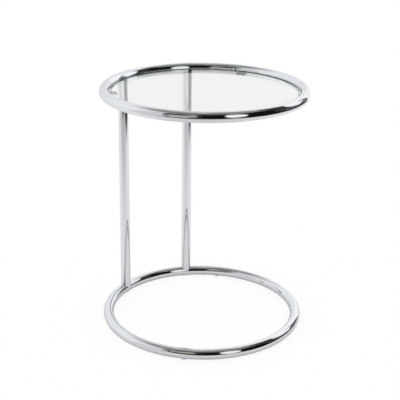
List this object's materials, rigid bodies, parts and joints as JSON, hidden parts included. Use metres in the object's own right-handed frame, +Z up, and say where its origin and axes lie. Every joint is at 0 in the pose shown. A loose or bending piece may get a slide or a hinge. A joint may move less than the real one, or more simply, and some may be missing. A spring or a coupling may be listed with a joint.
{
  "type": "c shaped side table",
  "caption": "Round side table of chromed steel tube: a base ring, posts at one side and a top ring that holds a lift-out glass disc, so that it reaches over a seat.",
  "frame": {"origin": "on the floor, on the common axis of the two rings", "axes": "+Z up; +Y towards the two posts; -Y the open side that reaches over a seat; +X to the right when looking along +Y"},
  "size_m": [0.4399, 0.44, 0.53],
  "materials": {
    "chromed_tube": "polished bright chrome plate on steel",
    "clear_glass": "clear tempered float glass, polished faces, ground edge",
    "clear_plastic": "clear soft moulded plastic",
    "grey_plastic": "moulded, pale grey",
    "zinc_steel": "bright zinc plate"
  },
  "bodies": {
    "frame": {"base_ring": "chromed_tube", "top_ring": "chromed_tube", "post_left": "chromed_tube", "post_plug_left": "zinc_steel", "base_screw_left": "zinc_steel", "saddle_washer_left": "zinc_steel", "lock_washer_left": "zinc_steel", "access_cap_left": "grey_plastic", "post_right": "chromed_tube", "post_plug_right": "zinc_steel", "base_screw_right": "zinc_steel", "saddle_washer_right": "zinc_steel", "lock_washer_right": "zinc_steel", "access_cap_right": "grey_plastic", "glide_1": "grey_plastic", "glide_2": "grey_plastic", "glide_3": "grey_plastic", "glide_4": "grey_plastic", "glass_tab_1": "chromed_tube", "glass_pad_1": "clear_plastic", "glass_tab_2": "chromed_tube", "glass_pad_2": "clear_plastic", "glass_tab_3": "chromed_tube", "glass_pad_3": "clear_plastic"},
    "glass": {"glass_top": "clear_glass"}
  },
  "joints": [
    {"name": "glass_lift", "type": "slide", "parent": "frame", "child": "glass", "axis": [0, 0, 1], "range_m": [0, 0.05]}
  ]
}
